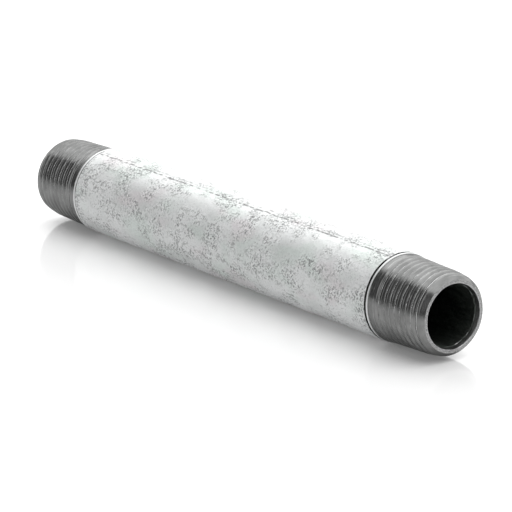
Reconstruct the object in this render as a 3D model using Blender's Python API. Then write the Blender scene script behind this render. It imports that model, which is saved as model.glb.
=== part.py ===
"""Threaded pipe nipple, half-inch bore by six inches long.

It is one length of welded steel tube, hot-dip galvanised inside and out, with the same right-hand taper
thread cut on each end afterwards. Cutting the threads takes the zinc off both ends, so the zinc is left as
two separate layers: a coat round the barrel and a lining in the bore.

The tube lies along X with its middle at the origin, +Z up. "Depth" below is the distance along X from an
end face towards the middle. Sizes are in metres.
"""

import math

import bmesh
import bpy
from mathutils import Matrix

MM = 0.001

# Tube
LENGTH = 152.4 * MM
TUBE_RADIUS = 10.55 * MM
WALL = 3.1 * MM
FACETS = 40  # flats round every circle

# Weld seam: a flat scarfed on the outside, and the flash left as a low bead in the bore
SEAM_ROLL = math.radians(15.5)  # how far the seam lies from the top, towards -Y
SEAM_ANGLE = math.pi / 2  # where it is before that roll: on +Z
BEAD_HEIGHT = 0.3 * MM

# Ends
MOUTH_RADIUS = 7.75 * MM  # reamed bore at the end face
REAM_DEPTH = 1.15 * MM
END_FACE_RADIUS = 8.55 * MM
CHAMFER_SLOPE = math.tan(math.radians(40))
LEAD_RADIUS = 9.40 * MM  # a gentler cone behind the chamfer, which tops off the first turns
LEAD_SLOPE = 0.13

# Taper thread: 14 turns to the inch, 55 degrees between the flanks, 1 in 16 on the diameter
PITCH = 25.4 * MM / 14
FLANK_SLOPE = math.tan(math.radians(27.5))
TAPER_SLOPE = 1 / 32
CREST_RADIUS_AT_END = 9.80 * MM
CREST_FLAT = 0.30 * MM
THREAD_DEPTH = 1.05 * MM
THREAD_FIRST_DEPTH = 0.25 * MM  # where the helix leaves the end face's chamfer
THREAD_LENGTH = 18.0 * MM
FADE_DEPTH = 13.8 * MM  # the roots rise from here until the thread has run out
RUN_OUT_DEPTH = 17.4 * MM

# Shoulder behind the thread
LIP_RADIUS = 10.60 * MM
LIP_DEPTH = 18.35 * MM
LAND_RADIUS = 10.50 * MM
LAND_DEPTH = 18.60 * MM
LAND_END_DEPTH = 19.10 * MM

# Zinc
ZINC = 0.10 * MM
ZINC_CLEARANCE = 0.02 * MM  # the zinc is bonded on; this keeps the two meshes apart
COAT_START_DEPTH = 19.20 * MM
COAT_EDGE = 0.25 * MM  # length over which the coat thins to its edge
LINING_START_DEPTH = 1.25 * MM

HALF = LENGTH / 2
BORE_RADIUS = TUBE_RADIUS - WALL
STEP_ANGLE = 2 * math.pi / FACETS
COAT_EDGE_THICKNESS = 0.4 * ZINC


def clear_scene():
    for obj in list(bpy.data.objects):
        bpy.data.objects.remove(obj)


def metal(name, colour, roughness):
    material = bpy.data.materials.new(name)
    material.use_nodes = True
    shader = material.node_tree.nodes["Principled BSDF"]
    shader.inputs["Base Color"].default_value = (*colour, 1)
    shader.inputs["Metallic"].default_value = 1.0
    shader.inputs["Roughness"].default_value = roughness
    return material


def from_seam(angle):
    """Angle between a point of the section and the weld seam, from 0 to pi."""
    turned = (angle - SEAM_ANGLE) % (2 * math.pi)
    return min(turned, 2 * math.pi - turned)


def circle(radius):
    return lambda angle: radius


def outside(extra=0.0):
    """The tube's outer outline, grown by extra: a circle with a flat two facets wide along the seam."""

    def radius_at(angle):
        away = from_seam(angle)
        radius = TUBE_RADIUS + extra
        if away >= STEP_ANGLE:
            return radius
        return radius * math.cos(STEP_ANGLE) / math.cos(away)

    return radius_at


def inside(inset=0.0):
    """The bore's outline, made smaller by inset: a circle with the weld bead standing in from it."""

    def radius_at(angle):
        share = max(0.0, 1 - from_seam(angle) / STEP_ANGLE)
        return BORE_RADIUS - inset - BEAD_HEIGHT * share

    return radius_at


def point(depth, angle, radius):
    """A point at that depth from the +X end face."""
    return (HALF - depth, radius * math.cos(angle), radius * math.sin(angle))


def helix_angle(step):
    """Clockwise as seen from the end face while the depth grows, which is right-handed."""
    return SEAM_ANGLE - step * STEP_ANGLE


def ring(mesh, depth, radius_at):
    """One closed row of vertices, numbered the way the helix turns."""
    angles = [helix_angle(step) for step in range(FACETS)]
    return [mesh.verts.new(point(depth, angle, radius_at(angle))) for angle in angles]


def bridge(mesh, first, second):
    for i in range(FACETS):
        after = (i + 1) % FACETS
        mesh.faces.new((first[i], first[after], second[after], second[i]))


def chain(mesh, rings):
    for first, second in zip(rings, rings[1:]):
        bridge(mesh, first, second)


def thread_radius(depth, on_crest):
    """Radius of the thread's crest or root, held under the chamfer and the lead behind it."""
    crest = CREST_RADIUS_AT_END + TAPER_SLOPE * depth
    turned = min(END_FACE_RADIUS + CHAMFER_SLOPE * depth, LEAD_RADIUS + LEAD_SLOPE * depth)
    if on_crest:
        return min(crest, turned)
    left = (RUN_OUT_DEPTH - depth) / (RUN_OUT_DEPTH - FADE_DEPTH)
    root = crest - THREAD_DEPTH * min(1.0, max(0.0, left))
    return min(root, turned)


def cut_thread(mesh, face_edge, thread_end):
    """The threaded surface between the end face's edge and the ring where the thread has run out.

    Each step round the helix is a column of four vertices: root, crest, crest, root. A column joins the next
    one and the one a turn later. The two wedges left over, before the first turn and after the last, are
    filled against the plain rings, and the first and last columns are the sides of one polygon in each.
    """
    flank = THREAD_DEPTH * FLANK_SLOPE
    offsets = ((0, False), (flank, True), (flank + CREST_FLAT, True), (2 * flank + CREST_FLAT, False))
    turns = (THREAD_LENGTH - THREAD_FIRST_DEPTH - PITCH) / PITCH
    steps = int(turns * FACETS)
    columns = []
    for step in range(steps + 1):
        angle = helix_angle(step)
        start = THREAD_FIRST_DEPTH + PITCH * step / FACETS
        column = []
        for offset, on_crest in offsets:
            depth = start + offset
            column.append(mesh.verts.new(point(depth, angle, thread_radius(depth, on_crest))))
        columns.append(column)

    for step in range(steps):
        for low, high in ((0, 1), (1, 2), (2, 3)):
            here, there = columns[step], columns[step + 1]
            mesh.faces.new((here[low], there[low], there[high], here[high]))
    for step in range(steps - FACETS):
        here, there = columns[step], columns[step + 1]
        later, later_there = columns[step + FACETS], columns[step + FACETS + 1]
        mesh.faces.new((here[3], there[3], later_there[0], later[0]))

    for step in range(FACETS - 1):
        mesh.faces.new((face_edge[step], face_edge[step + 1], columns[step + 1][0], columns[step][0]))
    last = FACETS - 1
    mesh.faces.new((face_edge[last], face_edge[0], *columns[0], columns[FACETS][0], columns[last][0]))

    for step in range(steps - FACETS + 1, steps):
        here, there = step % FACETS, (step + 1) % FACETS
        mesh.faces.new((columns[step][3], columns[step + 1][3], thread_end[there], thread_end[here]))
    first = steps - FACETS
    here, there = first % FACETS, (first + 1) % FACETS
    mesh.faces.new((
        columns[first][3], columns[first + 1][3], thread_end[there], thread_end[here],
        *reversed(columns[steps]),
    ))


def add_other_half(mesh):
    """The -X half is the +X half turned half a turn about Z, which keeps the thread right-handed."""
    made = bmesh.ops.duplicate(mesh, geom=mesh.verts[:] + mesh.edges[:] + mesh.faces[:])["geom"]
    copied = [item for item in made if isinstance(item, bmesh.types.BMVert)]
    bmesh.ops.rotate(mesh, verts=copied, cent=(0, 0, 0), matrix=Matrix.Rotation(math.pi, 3, "Z"))
    middle = [vert for vert in mesh.verts if abs(vert.co.x) < 0.01 * MM]
    bmesh.ops.remove_doubles(mesh, verts=middle, dist=0.001 * MM)


def finish(mesh, name, material, parent):
    bmesh.ops.recalc_face_normals(mesh, faces=mesh.faces)
    data = bpy.data.meshes.new(name)
    mesh.to_mesh(data)
    mesh.free()
    data.shade_smooth()
    data.set_sharp_from_angle(angle=math.radians(25))
    data.materials.append(material)
    obj = bpy.data.objects.new(name, data)
    bpy.context.scene.collection.objects.link(obj)
    obj.parent = parent
    return obj


def steel_pipe(parent):
    mesh = bmesh.new()
    mouth = ring(mesh, 0, circle(MOUTH_RADIUS))
    face_edge = ring(mesh, 0, circle(END_FACE_RADIUS))
    chain(mesh, [ring(mesh, HALF, inside()), ring(mesh, REAM_DEPTH, inside()), mouth, face_edge])

    thread_end = ring(mesh, THREAD_LENGTH, circle(CREST_RADIUS_AT_END + TAPER_SLOPE * THREAD_LENGTH))
    cut_thread(mesh, face_edge, thread_end)
    lip = ring(mesh, LIP_DEPTH, circle(LIP_RADIUS))

    def land_outline(angle):
        """The turned land, which the seam's flat still cuts into where it lies lower."""
        return min(LAND_RADIUS, outside()(angle))

    land = [ring(mesh, depth, land_outline) for depth in (LAND_DEPTH, LAND_END_DEPTH)]
    barrel = [ring(mesh, depth, outside()) for depth in (LAND_END_DEPTH + 0.03 * MM, HALF)]
    chain(mesh, [thread_end, lip, *land, *barrel])
    add_other_half(mesh)
    return finish(mesh, "steel_pipe", metal("bare_steel", (0.30, 0.30, 0.31), 0.32), parent)


def outer_zinc_coat(parent):
    """A sleeve round the barrel between the threads, thinned to an edge at each shoulder."""
    under, top = ZINC_CLEARANCE, ZINC_CLEARANCE + ZINC
    edge = ZINC_CLEARANCE + COAT_EDGE_THICKNESS
    mesh = bmesh.new()
    chain(mesh, [
        ring(mesh, HALF, outside(under)),
        ring(mesh, COAT_START_DEPTH, outside(under)),
        ring(mesh, COAT_START_DEPTH, outside(edge)),
        ring(mesh, COAT_START_DEPTH + COAT_EDGE, outside(top)),
        ring(mesh, HALF, outside(top)),
    ])
    add_other_half(mesh)
    return finish(mesh, "outer_zinc_coat", metal("zinc", (0.62, 0.64, 0.64), 0.45), parent)


def bore_zinc_lining(parent):
    """The zinc left in the bore between the two reamed mouths, over the weld bead too."""
    under, top = ZINC_CLEARANCE, ZINC_CLEARANCE + ZINC
    mesh = bmesh.new()
    chain(mesh, [
        ring(mesh, HALF, inside(under)),
        ring(mesh, LINING_START_DEPTH, inside(under)),
        ring(mesh, LINING_START_DEPTH, inside(top)),
        ring(mesh, HALF, inside(top)),
    ])
    add_other_half(mesh)
    return finish(mesh, "bore_zinc_lining", metal("bore_zinc", (0.42, 0.43, 0.43), 0.6), parent)


def main():
    clear_scene()
    axis = bpy.data.objects.new("pipe_axis", None)
    bpy.context.scene.collection.objects.link(axis)
    axis.rotation_euler.x = SEAM_ROLL
    steel_pipe(axis)
    outer_zinc_coat(axis)
    bore_zinc_lining(axis)


main()
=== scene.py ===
import math

import bpy
import numpy as np
from mathutils import Matrix, Vector


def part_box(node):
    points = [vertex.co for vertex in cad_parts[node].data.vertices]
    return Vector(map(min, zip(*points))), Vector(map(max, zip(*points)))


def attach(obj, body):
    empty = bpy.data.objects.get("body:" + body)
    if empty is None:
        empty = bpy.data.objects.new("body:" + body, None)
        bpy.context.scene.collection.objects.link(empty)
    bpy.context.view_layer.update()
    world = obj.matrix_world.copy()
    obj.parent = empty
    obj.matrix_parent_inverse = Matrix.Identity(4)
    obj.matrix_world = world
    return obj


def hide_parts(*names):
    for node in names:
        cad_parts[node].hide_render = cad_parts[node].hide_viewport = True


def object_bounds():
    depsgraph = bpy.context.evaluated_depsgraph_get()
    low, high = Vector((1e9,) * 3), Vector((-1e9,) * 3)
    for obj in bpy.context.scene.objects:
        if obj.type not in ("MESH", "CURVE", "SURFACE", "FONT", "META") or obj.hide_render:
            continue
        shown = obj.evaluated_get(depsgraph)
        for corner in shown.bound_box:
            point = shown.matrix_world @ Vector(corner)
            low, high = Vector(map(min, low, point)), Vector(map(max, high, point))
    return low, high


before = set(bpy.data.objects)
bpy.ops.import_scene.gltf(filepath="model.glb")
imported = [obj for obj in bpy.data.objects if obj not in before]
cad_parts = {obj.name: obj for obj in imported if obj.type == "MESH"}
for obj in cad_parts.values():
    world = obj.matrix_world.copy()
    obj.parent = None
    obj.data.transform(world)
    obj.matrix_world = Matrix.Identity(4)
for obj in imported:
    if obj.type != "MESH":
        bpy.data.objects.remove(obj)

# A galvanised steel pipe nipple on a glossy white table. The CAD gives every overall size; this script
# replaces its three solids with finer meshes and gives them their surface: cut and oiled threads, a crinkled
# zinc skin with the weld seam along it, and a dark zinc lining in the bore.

MM = 0.001
CAD_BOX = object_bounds()
HALF = CAD_BOX[1].x
COAT_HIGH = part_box("outer_zinc_coat")[1]
LINING_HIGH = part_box("bore_zinc_lining")[1]


def cad_rings(name):
    """Depth from the +X end face and radius of every vertex of a CAD node."""
    points = np.array([vertex.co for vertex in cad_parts[name].data.vertices])
    return HALF - points[:, 0], np.hypot(points[:, 1], points[:, 2])


STEEL_DEPTHS, STEEL_RADII = cad_rings("steel_pipe")
END_FACE = STEEL_RADII[STEEL_DEPTHS < 1e-6]
MOUTH_RADIUS, END_FACE_RADIUS = float(END_FACE.min()), float(END_FACE.max())
COAT_TOP = min(CAD_BOX[1].y, CAD_BOX[1].z, -CAD_BOX[0].y, -CAD_BOX[0].z)
COAT_START = HALF - COAT_HIGH.x
COAT_RADIUS = COAT_TOP - 0.03 * MM  # leaves room for the relief below the CAD's own surface
TUBE_RADIUS = float(STEEL_RADII[STEEL_DEPTHS > HALF / 2].max())
LINING_START = HALF - LINING_HIGH.x
LINING_RADIUS = LINING_HIGH.z

# Thread and shoulder. The grooves are shallower than the CAD's; the rest has its sizes, to within 0.05 mm.
PITCH = 25.4 * MM / 14
TAPER = 1 / 32
CREST_AT_END = 9.80 * MM
THREAD_DEPTH = 0.45 * MM
THREAD_LENGTH = 18.0 * MM
FADE_FROM, FADE_TO = 13.8 * MM, 17.4 * MM
CHAMFER_SLOPE = math.tan(math.radians(40))
LEAD_RADIUS, LEAD_SLOPE = 9.40 * MM, 0.13
LIP_DEPTH, LIP_WIDTH, LIP_TOP = 18.35 * MM, 0.70 * MM, 10.61 * MM
LAND_RADIUS = 10.48 * MM
REAM_DEPTH = 1.15 * MM

# Weld
SEAM = math.pi / 2  # every mesh is made with the weld on top, then rolled with it
ROLL = math.radians(15.5)
SCARF = math.radians(9)  # half the width of the flat scarfed along the weld
BEAD_HEIGHT = 0.3 * MM

# Zinc
COAT_THINNING = 0.30 * MM  # length over which the coat thins to its edge
LINING_GAP = 0.02 * MM  # between the lining and the steel of the bore


# --- noise -------------------------------------------------------------------------------------------------

def value_noise(points, seed):
    """Smooth noise from -1 to 1 at each row of points, with one random value to each unit cell's corner."""
    cell = np.floor(points).astype(np.int64)
    part = points - cell
    part = part * part * part * (part * (part * 6 - 15) + 10)
    total = np.zeros(len(points))
    for corner in np.ndindex(2, 2, 2):
        at = cell + np.array(corner)
        mixed = at[:, 0] * 73856093 ^ at[:, 1] * 19349663 ^ at[:, 2] * 83492791 ^ (seed * 2654435761)
        mixed = (mixed ^ (mixed >> 13)) * 1274126177 & 0xFFFFFFFF
        mixed = (mixed ^ (mixed >> 16)) * 2246822519 & 0xFFFFFFFF
        value = (mixed ^ (mixed >> 15)) & 0xFFFFFF
        share = np.prod(np.where(np.array(corner) == 1, part, 1 - part), axis=1)
        total += share * (value / 0x7FFFFF - 1)
    return total


def noise(points, size, seed, octaves=1):
    """Noise whose features are about size across, in metres, with finer octaves at half the strength each."""
    total, strength = 0, 1.0
    for octave in range(octaves):
        total = total + strength * value_noise(points / size * 2**octave, seed + octave)
        strength /= 2
    return total


def smooth(low, high, value):
    """A smooth step from 0 at low to 1 at high. It falls instead where low is the larger."""
    share = np.clip((value - low) / (high - low), 0, 1)
    return share * share * (3 - 2 * share)


# --- meshes ------------------------------------------------------------------------------------------------

def on_pipe(depth, angle, radius):
    """Points at a depth from the +X end face, an angle from +Y towards +Z, and a radius."""
    depth, angle, radius = np.broadcast_arrays(depth, angle, radius)
    return np.stack([HALF - depth, radius * np.cos(angle), radius * np.sin(angle)], axis=-1)


def around(count):
    """Angles of a ring of points, from the weld."""
    return SEAM + 2 * math.pi * np.arange(count) / count


def from_seam(angle):
    """Angle between a point and the weld, from 0 to pi."""
    turned = (angle - SEAM) % (2 * math.pi)
    return np.minimum(turned, 2 * math.pi - turned)


def outline(angle, radius):
    """A circle with the scarfed flat along the weld."""
    away = from_seam(angle)
    flat = radius * math.cos(SCARF) / np.cos(np.minimum(away, SCARF))
    return np.where(away < SCARF, flat, radius)


def outline_of_bore(angle, inset):
    """The bore with the weld bead standing in from it, made smaller by inset."""
    share = 0.5 + 0.5 * np.cos(np.pi * np.minimum(from_seam(angle) / SCARF, 1))
    return LINING_RADIUS + LINING_GAP - inset - BEAD_HEIGHT * share


def closed_quads(rows, count):
    """Faces between rows of count points each, numbered in order, and from the last row to the first."""
    first = np.arange(rows)[:, None]
    second = (first + 1) % rows
    here, after = np.arange(count), (np.arange(count) + 1) % count
    return np.stack([first * count + here, second * count + here,
                     second * count + after, first * count + after], axis=-1).reshape(-1, 4)


def add_mesh(name, points, faces, materials, smooth_angle, zones=None):
    """One piece from its points and faces, rolled with the weld. zones gives each face its material slot."""
    data = bpy.data.meshes.new(name)
    data.from_pydata(points.tolist(), [], faces if isinstance(faces, list) else faces.tolist())
    data.transform(Matrix.Rotation(ROLL, 4, "X"))
    data.validate()
    for material in materials:
        data.materials.append(material)
    if zones is not None:
        data.polygons.foreach_set("material_index", zones(data))
    data.shade_smooth()
    data.set_sharp_from_angle(angle=math.radians(smooth_angle))
    data.update()
    piece = bpy.data.objects.new(name, data)
    bpy.context.scene.collection.objects.link(piece)
    return piece


# --- threads -----------------------------------------------------------------------------------------------

AROUND = 288  # points round the pipe
PER_PITCH = 24  # rows of points to each turn of the thread
ROUNDING = 0.05 * MM  # of the corners where two turned surfaces meet


def thread_profile():
    """Depth of cut over one pitch, from 0 on the crest to 1 in the root. The crest is wide, it has a gentle
    shoulder on one side, and every corner is rounded."""
    samples = 720
    corner = 0.10 * MM
    along = ((np.arange(samples) / samples + 0.5) % 1 - 0.5) * PITCH  # from the middle of the crest
    cut = np.interp(along / MM, [-0.80, -0.42, 0.26, 0.44, 0.82], [1, 0, 0, 0.19, 1])
    width = int(corner / PITCH * samples)
    kernel = np.hanning(width + 2)[1:-1]
    kernel /= kernel.sum()
    return np.convolve(np.concatenate([cut, cut, cut]), kernel, "same")[samples:2 * samples]


PROFILE = thread_profile()


def softer_of(first, second, blend):
    """The smaller of two radii, rounded over where they cross."""
    gap = np.clip(0.5 + 0.5 * (first - second) / blend, 0, 1)
    return first * (1 - gap) + second * gap - blend * gap * (1 - gap) * 0.5


def thread_surface(depth, angle, phase, side, seed):
    """Radius of the threaded surface, with the chamfer, the run-out and the marks of the cutting die. A side
    of -1 turns the profile round, for the end that is itself turned round once it is made."""
    points = on_pipe(depth, angle, 10 * MM)
    along_cut = points * np.array([6.0, 1.0, 1.0])  # marks drawn out round the pipe
    crest = softer_of(LEAD_RADIUS + LEAD_SLOPE * depth, CREST_AT_END + TAPER * depth, ROUNDING)
    crest = crest + 0.012 * MM * noise(along_cut, 2.2 * MM, seed, 3)
    sample = (phase * side % 1) * len(PROFILE)
    cut = np.interp(sample, np.arange(len(PROFILE) + 1), np.append(PROFILE, PROFILE[0]))
    begun = 0.45 + 0.55 * smooth(1.0 * MM, 3.6 * MM, depth)  # the first turns are shallower
    fade = (1 - smooth(FADE_FROM, FADE_TO, depth)) * begun
    torn = smooth(0.35, 0.8, noise(points * np.array([3.0, 1.0, 1.0]), 1.4 * MM, seed + 5, 2))
    on_crest = smooth(0.35, 0.0, cut)
    radius = crest - THREAD_DEPTH * cut * fade - 0.03 * MM * torn * on_crest * fade
    radius = radius + 0.008 * MM * noise(along_cut, 0.7 * MM, seed + 9, 2)
    chamfer = END_FACE_RADIUS + CHAMFER_SLOPE * depth + 0.01 * MM * noise(along_cut, 0.9 * MM, seed + 3)
    return softer_of(chamfer, radius, ROUNDING)


def threaded_end(side, seed):
    """Rows from the end face's edge to the thread's inner end. The rows follow the helix; points past either
    end are held on it, and those that fall together are made one point."""
    turns = math.ceil(THREAD_LENGTH / PITCH) + 1
    rows = turns * PER_PITCH + 1
    step = np.arange(AROUND)
    angle = (SEAM - 2 * math.pi * step / AROUND)[None, :]  # clockwise from outside: right-handed
    start = (np.arange(rows) / PER_PITCH - 1)[:, None] * PITCH
    depth = np.clip(start + PITCH * step / AROUND, 0, THREAD_LENGTH)
    phase = (np.arange(rows) / PER_PITCH)[:, None]
    places = [array.ravel() for array in np.broadcast_arrays(depth, angle, phase)]
    radius = thread_surface(*places, side, seed).reshape(depth.shape)
    inner_end = CREST_AT_END + TAPER * THREAD_LENGTH
    radius = np.where(depth >= THREAD_LENGTH, inner_end, radius)
    radius = np.where(depth <= 0, END_FACE_RADIUS, radius)
    index = np.arange(rows * AROUND).reshape(rows, AROUND)
    index = np.where(depth <= 0, step, index)
    index = np.where(depth >= THREAD_LENGTH, index[-1], index)
    points = on_pipe(depth, angle, radius).reshape(-1, 3)
    last = rows - 1
    faces = []
    for row in range(last):
        for i in range(AROUND):
            if i + 1 < AROUND:
                corners = (index[row, i], index[row, i + 1], index[row + 1, i + 1], index[row + 1, i])
            else:
                corners = (index[row, i], index[min(row + PER_PITCH, last), 0],
                           index[min(row + PER_PITCH + 1, last), 0], index[row + 1, i])
            corners = list(dict.fromkeys(int(corner) for corner in corners))
            if len(corners) > 2:
                faces.append(corners)
    return points, faces, index[0], index[-1]


def mouth_rows(angle, seed):
    """Depth and radius of each row from the end face's edge, across the face and down the bore."""
    rows = []
    on_face = on_pipe(0.0, angle, 8 * MM)
    steps = 12
    for k in range(1, steps):
        share = k / steps
        dip = 0.006 * MM * (1 + noise(on_face * (1 + 3 * share), 0.5 * MM, seed + 20 + k))
        rows.append((dip, END_FACE_RADIUS + (MOUTH_RADIUS - END_FACE_RADIUS) * share))
    rag = 0.03 * MM * noise(on_face, 0.6 * MM, seed + 40, 2)
    rows.append((0.02 * MM, MOUTH_RADIUS + 0.02 * MM + rag))
    bore = outline_of_bore(angle, 0.0)
    steps = 6
    for k in range(1, steps + 1):
        share = k / steps
        mark = 0.008 * MM * noise(on_pipe(6 * share * REAM_DEPTH, angle, 8 * MM), 0.8 * MM, seed + 50 + k)
        rows.append((REAM_DEPTH * share, MOUTH_RADIUS + (bore - MOUTH_RADIUS) * share + mark))
    return rows + [(3 * MM, bore), (HALF, bore)]


def shoulder_rows(angle, seed):
    """Depth and radius of each row from the thread's inner end, over the lip and the land to the middle."""
    rows = []
    wander = 0.02 * MM * noise(on_pipe(LIP_DEPTH, angle, 10 * MM), 1.6 * MM, seed + 60, 3)
    start_radius = CREST_AT_END + TAPER * THREAD_LENGTH
    height = 0.86 * (LIP_TOP - start_radius)  # above a base that itself rises to the land
    steps = 12
    for k in range(1, steps + 1):
        share = k / steps
        bump = math.sin(math.pi * share * 1.02) ** 0.8 * height if k < steps else 0.0
        base = start_radius + (LAND_RADIUS - start_radius) * share
        dents = wander * math.sin(math.pi * share)
        rows.append((THREAD_LENGTH + LIP_WIDTH * share, base + bump + dents))
    land_end = COAT_START + 0.1 * MM
    tube = outline(angle, TUBE_RADIUS - 0.01 * MM)
    land = (land_end - 0.02 * MM, np.minimum(LAND_RADIUS, tube))
    return rows + [land, (land_end + 0.05 * MM, tube), (HALF, tube)]


def steel_end(side, seed):
    """Half of the pipe: bore, reamed mouth, end face, thread, shoulder and the barrel under the zinc."""
    points, faces, outer_edge, inner_end = threaded_end(side, seed)
    points = list(points)
    angle = SEAM - 2 * math.pi * np.arange(AROUND) / AROUND

    def add_rows(edge, rows):
        """Indices of the points of each row, from the edge that is there already."""
        indices = [edge]
        for depth, radius in rows:
            indices.append(np.arange(len(points), len(points) + AROUND))
            points.extend(on_pipe(depth, angle, radius))
        return indices

    inner = add_rows(outer_edge, mouth_rows(angle, seed))
    outer = add_rows(inner_end, shoulder_rows(angle, seed))
    for first, second in [*zip(inner[1:], inner), *zip(outer, outer[1:])]:
        for i in range(AROUND):
            after = (i + 1) % AROUND
            faces.append([int(first[i]), int(first[after]), int(second[after]), int(second[i])])
    return np.array(points), faces


def steel_zones(data):
    """Slot 1 for the end faces and the mouths, 0 for the rest."""
    zones = np.zeros(len(data.polygons), np.int32)
    for i, face in enumerate(data.polygons):
        depth = HALF - abs(face.center.x)
        if math.hypot(face.center.y, face.center.z) < END_FACE_RADIUS * 1.001 and depth < 5 * MM:
            zones[i] = 1
    return zones


def make_steel(materials):
    """The pipe: two halves, joined in the middle."""
    near, near_faces = steel_end(1, 11)
    far, far_faces = steel_end(-1, 211)
    far = far * np.array([-1, -1, 1])  # half a turn about Z, which keeps the thread right-handed
    points = np.concatenate([near, far])
    faces = near_faces + [[corner + len(near) for corner in face] for face in far_faces]
    first_at = {}  # each point in the middle has a twin in the other half
    index = np.arange(len(points))
    for i in np.flatnonzero(np.abs(points[:, 0]) < 1e-6):
        micrometres = tuple(np.round(points[i] * 1e6).astype(int))
        index[i] = first_at.setdefault(micrometres, i)
    used = np.zeros(len(points), bool)
    faces = [[int(index[corner]) for corner in face] for face in faces]
    used[[corner for face in faces for corner in face]] = True
    renumber = np.cumsum(used) - 1
    faces = [[int(renumber[corner]) for corner in face] for face in faces]
    return add_mesh("pipe_steel", points[used], faces, materials, 50, steel_zones)


# --- zinc --------------------------------------------------------------------------------------------------

def zinc_relief(flat):
    """Height of the zinc at points of the plain surface: crinkles in patches, and a few pimples."""
    patch = smooth(-0.25, 0.45, noise(flat * np.array([0.7, 1, 1]), 6.5 * MM, 301, 2))
    warp = np.stack([noise(flat, 2.6 * MM, 310 + k, 2) for k in range(3)], axis=1) * 0.9 * MM
    crinkle = 1 - 2.2 * np.abs(noise(flat + warp, 1.1 * MM, 320, 2))
    fine = noise(flat + warp, 0.55 * MM, 330, 1)
    pimples = smooth(0.62, 0.9, noise(flat, 1.5 * MM, 340))
    return (0.010 * noise(flat, 9 * MM, 350, 2) + 0.026 * patch * crinkle + 0.012 * fine
            + 0.03 * pimples - 0.010) * MM


def seam_relief(depth, angle):
    """Height of the zinc along the weld: a broken groove that wanders, with a low lip on each side."""
    along = on_pipe(depth, 0.0, 1 * MM).reshape(-1, 3)
    wander = (0.16 * MM * noise(along, 3.5 * MM, 360, 2))[:, None]
    away = (angle - SEAM + math.pi) % (2 * math.pi) - math.pi
    off_seam = away * COAT_RADIUS - wander
    open_seam = smooth(-0.55, 0.25, noise(along, 1.5 * MM, 370, 2))[:, None]
    groove = -0.075 * MM * np.exp(-(off_seam / (0.17 * MM)) ** 2) * open_seam
    lips = 0.022 * MM * np.exp(-((np.abs(off_seam) - 0.5 * MM) / (0.25 * MM)) ** 2)
    return groove + lips


def make_coat(material):
    """The zinc round the barrel, thinned to an edge behind each shoulder."""
    count, spacing = 320, 0.3 * MM
    angle = around(count)[None, :]
    start, end = COAT_START, 2 * HALF - COAT_START
    edges = np.array([0, 0.03, 0.08, 0.15, 0.25]) * MM
    inset = COAT_THINNING + 0.1 * MM
    middle = np.linspace(start + inset, end - inset, int((end - start) / spacing))
    depth = np.concatenate([start + edges, middle, (end - edges)[::-1]])[:, None]
    flat = on_pipe(depth, angle, COAT_RADIUS).reshape(-1, 3)
    relief = zinc_relief(flat).reshape(len(depth), count) + seam_relief(depth, angle)

    from_edge = np.minimum(depth - start, end - depth)
    taper = np.clip(from_edge / COAT_THINNING, 0, 1) ** 0.6
    base = COAT_RADIUS - 0.04 * MM * (1 - taper)
    radius = outline(angle, 1.0) * base + relief * taper
    radius = np.minimum(radius, COAT_TOP - 0.001 * MM)
    lowest = outline(angle, TUBE_RADIUS + 0.02 * MM) + 0.015 * MM
    radius = np.maximum(radius, lowest)
    under_depths = np.array([end, HALF, start])[:, None]
    under = on_pipe(under_depths, angle, outline(angle, TUBE_RADIUS + 0.01 * MM))
    points = np.concatenate([on_pipe(depth, angle, radius), under]).reshape(-1, 3)
    return add_mesh("zinc_skin", points, closed_quads(len(depth) + 3, count), [material], 60)


def make_lining(material):
    """The zinc in the bore, dull and lumpy over the weld bead, with a torn edge at each reamed mouth."""
    count = 224
    angle = around(count)[None, :]
    near = np.concatenate([[0, 0.04, 0.1, 0.2, 0.35, 0.6], np.arange(1, 20, 0.5)]) * MM + LINING_START
    middle = np.linspace(22 * MM, 2 * HALF - 22 * MM, 60)
    depth = np.concatenate([near, middle, (2 * HALF - near)[::-1]])[:, None]
    plain = 7.3 * MM  # radius at which the noise is read
    flat = on_pipe(depth, angle, plain).reshape(-1, 3)
    relief = 0.02 * MM * noise(flat * np.array([0.5, 1, 1]), 2.5 * MM, 401, 3)
    relief = relief.reshape(len(depth), count)
    from_edge = np.minimum(depth - LINING_START, 2 * HALF - LINING_START - depth)
    torn = np.clip(1 - from_edge / (0.35 * MM), 0, 1)
    teeth = noise(on_pipe(3 * MM, angle[0], plain), 0.55 * MM, 411, 2)
    inset = 0.12 * MM + relief - 0.05 * MM * torn * (1 - 0.8 * teeth)
    radius = outline_of_bore(angle, inset)
    shift = 0.14 * MM * np.abs(teeth) * torn * np.where(depth < HALF, 1, -1)
    inner = on_pipe(depth + shift, angle, radius)
    outer_depths = np.array([2 * HALF - LINING_START, HALF, LINING_START])[:, None]
    outer = on_pipe(outer_depths, angle, outline_of_bore(angle, LINING_GAP))
    points = np.concatenate([inner, outer]).reshape(-1, 3)
    faces = closed_quads(len(depth) + 3, count)[:, ::-1]
    return add_mesh("zinc_lining", points, faces, [material], 50)


# --- materials ---------------------------------------------------------------------------------------------

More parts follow.
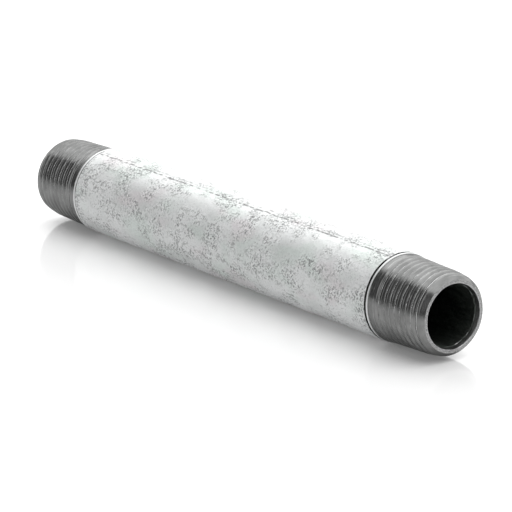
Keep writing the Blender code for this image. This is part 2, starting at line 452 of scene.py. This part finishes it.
class Nodes:
    """A node tree with short ways to add to it."""

    def __init__(self, tree):
        self.tree = tree

    def add(self, kind, **settings):
        made = self.tree.nodes.new(kind)
        for name, value in settings.items():
            setattr(made, name, value)
        return made

    def put(self, socket, value):
        if isinstance(value, bpy.types.NodeSocket):
            self.tree.links.new(value, socket)
        else:
            socket.default_value = value

    def math(self, operation, *values):
        made = self.add("ShaderNodeMath", operation=operation)
        for socket, value in zip(made.inputs, values):
            self.put(socket, value)
        return made.outputs[0]

    def plus(self, first, second):
        return self.math("ADD", first, second)

    def minus(self, first, second):
        return self.math("SUBTRACT", first, second)

    def times(self, first, second):
        return self.math("MULTIPLY", first, second)

    def between(self, value, low, high, to_low=0.0, to_high=1.0):
        """A smooth step from to_low where the value is low to to_high where it is high."""
        made = self.add("ShaderNodeMapRange", interpolation_type="SMOOTHSTEP")
        for socket, number in zip(made.inputs, (value, low, high, to_low, to_high)):
            self.put(socket, number)
        return made.outputs[0]

    def near(self, value, middle, outer, inner):
        """1 where the value is within inner of the middle, falling to 0 at outer."""
        return self.between(self.math("ABSOLUTE", self.minus(value, middle)), outer, inner)


class Surface(Nodes):
    """A material whose patterns are placed by the point's own position on the piece."""

    def __init__(self, name):
        self.material = bpy.data.materials.new(name)
        self.material.use_nodes = True
        super().__init__(self.material.node_tree)
        self.shader = self.tree.nodes["Principled BSDF"]
        self.place = self.add("ShaderNodeTexCoord").outputs["Object"]
        split = self.add("ShaderNodeSeparateXYZ")
        self.put(split.inputs[0], self.place)
        self.x, self.y, self.z = split.outputs

    def stretch(self, x, y, z, move=0.0):
        """The point's position, in millimetres, scaled along each axis and moved."""
        made = self.add("ShaderNodeMapping")
        self.put(made.inputs["Vector"], self.place)
        made.inputs["Scale"].default_value = (x / MM, y / MM, z / MM)
        made.inputs["Location"].default_value = (move, move * 0.7, -move)
        return made.outputs[0]

    def noise(self, where, size, detail=2.0, rough=0.5, distortion=0.0):
        made = self.add("ShaderNodeTexNoise")
        self.put(made.inputs["Vector"], where)
        made.inputs["Scale"].default_value = 1 / size
        made.inputs["Detail"].default_value = detail
        made.inputs["Roughness"].default_value = rough
        made.inputs["Distortion"].default_value = distortion
        return made.outputs[0]

    def mix(self, share, first, second):
        made = self.add("ShaderNodeMix", data_type="RGBA")
        self.put(made.inputs[0], share)
        self.put(made.inputs[6], (*first, 1) if isinstance(first, tuple) else first)
        self.put(made.inputs[7], (*second, 1) if isinstance(second, tuple) else second)
        return made.outputs[2]

    def bump(self, height, distance, strength=1.0, under=None):
        made = self.add("ShaderNodeBump")
        self.put(made.inputs["Height"], height)
        made.inputs["Distance"].default_value = distance
        made.inputs["Strength"].default_value = strength
        if under is not None:
            self.put(made.inputs["Normal"], under)
        return made.outputs[0]

    def finish(self, colour, roughness, normal, metallic=1.0, **fixed):
        self.put(self.shader.inputs["Base Color"], colour)
        self.put(self.shader.inputs["Roughness"], roughness)
        self.put(self.shader.inputs["Normal"], normal)
        self.put(self.shader.inputs["Metallic"], metallic)
        for name, value in fixed.items():
            self.shader.inputs[name.replace("_", " ")].default_value = value
        return self.material


def depth_of(nodes):
    """Distance from the nearer end face, in millimetres."""
    return nodes.times(nodes.minus(HALF, nodes.math("ABSOLUTE", nodes.x)), 1 / MM)


def across_seam(nodes):
    """Distance to one side of the plane through the axis and the weld, in metres."""
    return nodes.plus(nodes.times(nodes.y, math.cos(ROLL)), nodes.times(nodes.z, math.sin(ROLL)))


def turn_of(nodes, depth):
    """How far along the thread's profile a place is, towards -X, in fractions of a pitch: 0.5 on a crest."""
    end = nodes.math("SIGN", nodes.x)
    towards_seam = nodes.minus(nodes.times(nodes.z, math.cos(ROLL)), nodes.times(nodes.y, math.sin(ROLL)))
    angle = nodes.math("ARCTAN2", towards_seam, nodes.times(across_seam(nodes), end))
    turns = nodes.math("DIVIDE", nodes.minus(angle, SEAM), 2 * math.pi)
    phase = nodes.plus(nodes.times(depth, MM / PITCH), turns)
    return nodes.math("FRACT", nodes.plus(nodes.times(phase, end), 20.5))


def thread_steel():
    """Freshly cut steel under a film of oil: dark, nearly mirror bright and streaked the way the die turned.
    The shoulder of each crest carries a painted highlight, pale so that it shows as a bright line, and the
    lip behind the thread is pale and duller."""
    nodes = Surface("thread_steel")
    turned = nodes.noise(nodes.stretch(14, 1, 1), 1.6, 4, 0.6)
    fine = nodes.noise(nodes.stretch(30, 2, 2, 7), 1.0, 3, 0.6)
    stain = nodes.noise(nodes.stretch(1, 1, 1, 3), 3.5, 4, 0.55)
    specks = nodes.between(nodes.noise(nodes.stretch(1, 1, 1, 12), 0.30, 2, 0.5), 0.70, 0.78)
    depth = depth_of(nodes)
    lip = nodes.times(nodes.between(depth, 18.02, 18.18), nodes.between(depth, 18.75, 18.62))
    # painted highlight: the shoulder of each crest is painted pale, standing in for the bright line that its
    # reflection makes
    crest_highlight = nodes.near(turn_of(nodes, depth), 0.70, 0.07, 0.05)
    crest_highlight = nodes.times(crest_highlight, nodes.between(depth, FADE_TO / MM, FADE_FROM / MM))
    crest_highlight = nodes.times(crest_highlight, nodes.between(depth, 1.2, 1.9))
    colour = nodes.mix(nodes.between(stain, 0.35, 0.65), (0.155, 0.157, 0.155), (0.21, 0.212, 0.21))
    colour = nodes.mix(nodes.between(turned, 0.35, 0.7, 0.0, 0.35), colour, (0.25, 0.252, 0.25))
    colour = nodes.mix(nodes.times(specks, 0.6), colour, (0.10, 0.095, 0.09))
    colour = nodes.mix(nodes.times(lip, 0.85), colour, (0.72, 0.73, 0.73))
    colour = nodes.mix(nodes.times(crest_highlight, 0.9), colour, (0.80, 0.802, 0.80))
    roughness = nodes.plus(nodes.between(fine, 0.3, 0.7, 0.14, 0.24), nodes.times(lip, 0.25))
    normal = nodes.bump(turned, 0.00002, 0.5)
    normal = nodes.bump(fine, 0.000008, 0.5, normal)
    return nodes.finish(colour, roughness, normal, Specular_Tint=(0.55, 0.55, 0.55, 1))


def face_steel():
    """The faced end and the reamed mouth: fine turning rings, a little torn."""
    nodes = Surface("faced_steel")
    squares = nodes.plus(nodes.times(nodes.y, nodes.y), nodes.times(nodes.z, nodes.z))
    radius = nodes.times(nodes.math("SQRT", squares), 1 / MM)
    rings = nodes.add("ShaderNodeCombineXYZ")
    for socket, value in zip(rings.inputs, (nodes.times(radius, 9.0), nodes.times(nodes.y, 350.0),
                                            nodes.times(nodes.z, 350.0))):
        nodes.put(socket, value)
    turned = nodes.noise(rings.outputs[0], 1.0, 3, 0.6)
    grain = nodes.noise(nodes.stretch(1, 1, 1), 0.22, 3, 0.6)
    depth = depth_of(nodes)
    ream = nodes.between(depth, 0.05, 0.3)
    colour = nodes.mix(nodes.between(grain, 0.35, 0.65), (0.17, 0.171, 0.17), (0.44, 0.441, 0.44))
    colour = nodes.mix(nodes.times(ream, 0.6), colour, (0.21, 0.212, 0.21))
    mouth = MOUTH_RADIUS / MM
    rim = nodes.times(nodes.between(radius, mouth + 0.22, mouth + 0.05), nodes.between(depth, 0.12, 0.05))
    colour = nodes.mix(nodes.times(rim, 0.5), colour, (0.60, 0.60, 0.61))
    roughness = nodes.between(turned, 0.3, 0.7, 0.28, 0.45)
    normal = nodes.bump(turned, 0.00003, 0.6)
    normal = nodes.bump(grain, 0.00002, 0.5, normal)
    return nodes.finish(colour, roughness, normal)


def weld_marks(nodes):
    """The weld line, broken into dashes, and a fainter one beside it, on the pipe's upper side only."""
    wander = nodes.minus(nodes.noise(nodes.stretch(1, 0, 0, 40), 3.0, 3, 0.6), 0.5)
    across = nodes.plus(nodes.times(across_seam(nodes), 1 / MM), nodes.times(wander, 1.1))
    dashes = nodes.noise(nodes.stretch(1, 0.3, 0.3, 44), 1.1, 3, 0.6)
    line = nodes.times(nodes.near(across, 0.0, 0.38, 0.08), nodes.between(dashes, 0.42, 0.55, 0.1, 1.0))
    other_dashes = nodes.noise(nodes.stretch(1, 0.3, 0.3, 71), 0.9, 3, 0.6)
    beside = nodes.between(other_dashes, 0.45, 0.60, 0.0, 0.6)
    beside = nodes.times(nodes.near(across, 0.95, 0.35, 0.05), beside)
    return nodes.times(nodes.math("MAXIMUM", line, beside), nodes.between(nodes.z, 0.0, 0.005))


def skin_zinc():
    """Hot-dip zinc: light grey, semi-bright, with crinkled patches, specks, faint tints and the weld line.
    The crinkles carry dark strokes, partly dark pits and partly painted shade, and near-white flecks that are
    painted highlights.
    """
    nodes = Surface("skin_zinc")
    large = nodes.noise(nodes.stretch(0.6, 1, 1), 7.0, 3, 0.55)
    patch = nodes.between(nodes.noise(nodes.stretch(0.7, 1, 1, 21), 4.5, 3, 0.6), 0.41, 0.60, 0.14, 1.0)
    folds = nodes.noise(nodes.stretch(1.3, 1, 1, 5), 0.60, 3, 0.6, 1.8)
    fold_lines = nodes.near(folds, 0.5, 0.075, 0.030)
    pleats = nodes.noise(nodes.stretch(1.2, 1, 1, 15), 0.30, 2, 0.6, 1.4)
    pleat_lines = nodes.near(pleats, 0.5, 0.065, 0.028)
    broken = nodes.between(nodes.noise(nodes.stretch(1, 1, 1, 27), 0.55, 2, 0.5), 0.48, 0.58)
    # the dark strokes are partly dark pits in the zinc and partly painted shade of the crinkle relief
    pit_and_shade_strokes = nodes.math("MAXIMUM", nodes.times(fold_lines, 0.75), pleat_lines)
    pit_and_shade_strokes = nodes.times(nodes.times(pit_and_shade_strokes, broken), patch)
    # painted highlights: near-white flecks in the crinkled patches, standing in for glints off the relief
    painted_glints = nodes.between(nodes.noise(nodes.stretch(1, 1, 1, 63), 0.32, 2, 0.5), 0.58, 0.66)
    grains = nodes.noise(nodes.stretch(1, 1, 1, 9), 0.42, 3, 0.6)
    specks = nodes.times(nodes.between(grains, 0.60, 0.68), nodes.between(large, 0.40, 0.58, 0.2, 1.0))
    greenish = nodes.noise(nodes.stretch(0.5, 1, 1, 33), 8.0, 2, 0.5)
    pinkish = nodes.noise(nodes.stretch(0.5, 1, 1, 57), 7.0, 2, 0.5)
    weld = weld_marks(nodes)

    colour = nodes.mix(nodes.between(large, 0.35, 0.65), (0.62, 0.635, 0.63), (0.70, 0.71, 0.71))
    colour = nodes.mix(nodes.between(greenish, 0.50, 0.66, 0, 0.5), colour, (0.55, 0.62, 0.58))
    colour = nodes.mix(nodes.between(pinkish, 0.53, 0.68, 0, 0.5), colour, (0.64, 0.59, 0.61))
    colour = nodes.mix(nodes.times(pit_and_shade_strokes, 0.95), colour, (0.08, 0.085, 0.085))
    colour = nodes.mix(nodes.times(nodes.times(painted_glints, patch), 0.8), colour, (0.90, 0.90, 0.90))
    colour = nodes.mix(nodes.times(specks, 0.65), colour, (0.22, 0.22, 0.22))
    colour = nodes.mix(nodes.times(weld, 0.85), colour, (0.14, 0.14, 0.14))
    roughness = nodes.between(large, 0.3, 0.7, 0.40, 0.54)
    height = nodes.minus(nodes.times(folds, patch), nodes.times(pit_and_shade_strokes, 0.25))
    height = nodes.minus(height, nodes.times(weld, 0.5))
    normal = nodes.bump(height, 0.00022, 0.8)
    normal = nodes.bump(grains, 0.00006, 0.7, normal)
    return nodes.finish(colour, roughness, normal, metallic=0.4)


def bore_zinc():
    """The lining: dull, dark with drips and dirt, bright only where the reamer cut its edge."""
    nodes = Surface("bore_zinc")
    drips = nodes.noise(nodes.stretch(0.25, 1, 1), 1.6, 4, 0.6)
    grains = nodes.noise(nodes.stretch(1, 1, 1, 9), 0.5, 3, 0.6)
    start = LINING_START / MM
    edge = nodes.between(depth_of(nodes), start + 0.30, start + 0.05)
    colour = nodes.mix(nodes.between(drips, 0.35, 0.65), (0.11, 0.125, 0.115), (0.18, 0.20, 0.185))
    worn = nodes.between(nodes.noise(nodes.stretch(1, 1, 1, 31), 1.8, 2, 0.5), 0.45, 0.62)
    colour = nodes.mix(nodes.times(edge, worn), colour, (0.62, 0.63, 0.63))
    roughness = nodes.between(grains, 0.3, 0.7, 0.35, 0.6)
    normal = nodes.bump(drips, 0.0001, 0.6)
    normal = nodes.bump(grains, 0.00004, 0.6, normal)
    return nodes.finish(colour, roughness, normal)


# --- stage -------------------------------------------------------------------------------------------------

def make_floor():
    """A glossy white table top at the pipe's lowest point."""
    data = bpy.data.meshes.new("floor")
    wide, level = 12.0, CAD_BOX[0].z
    data.from_pydata([(-wide, -wide, level), (wide, -wide, level), (wide, wide, level), (-wide, wide, level)],
                     [], [(0, 1, 2, 3)])
    material = bpy.data.materials.new("white_gloss")
    material.use_nodes = True
    shader = material.node_tree.nodes["Principled BSDF"]
    shader.inputs["Base Color"].default_value = (0.80, 0.80, 0.80, 1)
    shader.inputs["Emission Color"].default_value = (1, 1, 1, 1)
    shader.inputs["Emission Strength"].default_value = 0.10
    shader.inputs["Roughness"].default_value = 0.10
    shader.inputs["IOR"].default_value = 1.45
    data.materials.append(material)
    floor = bpy.data.objects.new("floor", data)
    bpy.context.scene.collection.objects.link(floor)
    return floor


def make_world():
    """A dim room with a white backdrop behind the pipe, a broad soft light overhead and one in front."""
    world = bpy.data.worlds.new("studio")
    bpy.context.scene.world = world
    world.use_nodes = True
    nodes = Nodes(world.node_tree)
    direction = nodes.add("ShaderNodeTexCoord").outputs["Generated"]

    def light(towards, low, high, strength):
        """Light from a cone of directions about towards; low and high are the cosines at its soft edge."""
        dot = nodes.add("ShaderNodeVectorMath", operation="DOT_PRODUCT")
        nodes.put(dot.inputs[0], direction)
        nodes.put(dot.inputs[1], Vector(towards).normalized())
        return nodes.between(dot.outputs["Value"], low, high, 0.0, strength)

    room = 0.15
    backdrop = light((-0.85, 0.50, 0.05), 0.50, 0.80, 1.3)
    overhead = light((0.0, 0.46, 1.0), 0.50, 0.61, 1.68)
    front = light((0.0, -0.85, 0.45), 0.80, 0.97, 1.0)
    background = nodes.tree.nodes["Background"]
    total = nodes.plus(nodes.plus(nodes.plus(room, backdrop), overhead), front)
    nodes.put(background.inputs["Strength"], total)
    background.inputs["Color"].default_value = (1, 1, 1, 1)


def make_camera():
    """A long lens in front of the +X end and a little above. It looks just below and right of the middle."""
    azimuth, elevation, distance = math.radians(52.55), math.radians(16.40), 1.012
    aside, below = 1.727 * MM, 3.422 * MM
    back = Vector((math.sin(azimuth) * math.cos(elevation), -math.cos(azimuth) * math.cos(elevation),
                   math.sin(elevation)))
    right = Vector((math.cos(azimuth), math.sin(azimuth), 0))
    up = back.cross(right)
    data = bpy.data.cameras.new("camera")
    data.sensor_width = 36
    data.lens = 297.5
    data.clip_start, data.clip_end = 0.05, 50
    camera = bpy.data.objects.new("camera", data)
    bpy.context.scene.collection.objects.link(camera)
    camera.location = back * distance + right * aside - up * below
    camera.rotation_mode = "QUATERNION"
    camera.rotation_quaternion = (-back).to_track_quat("-Z", "Y")
    bpy.context.scene.camera = camera


def main():
    steel = make_steel([thread_steel(), face_steel()])
    skin = make_coat(skin_zinc())
    lining = make_lining(bore_zinc())
    for piece, node, slot in ((steel, "steel_pipe", "bare_steel"), (skin, "outer_zinc_coat", "zinc"),
                              (lining, "bore_zinc_lining", "bore_zinc")):
        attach(piece, "root")
        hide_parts(node)
    make_floor()
    make_world()
    make_camera()
    bpy.context.scene.view_settings.view_transform = "Standard"
    bpy.context.view_layer.update()


main()
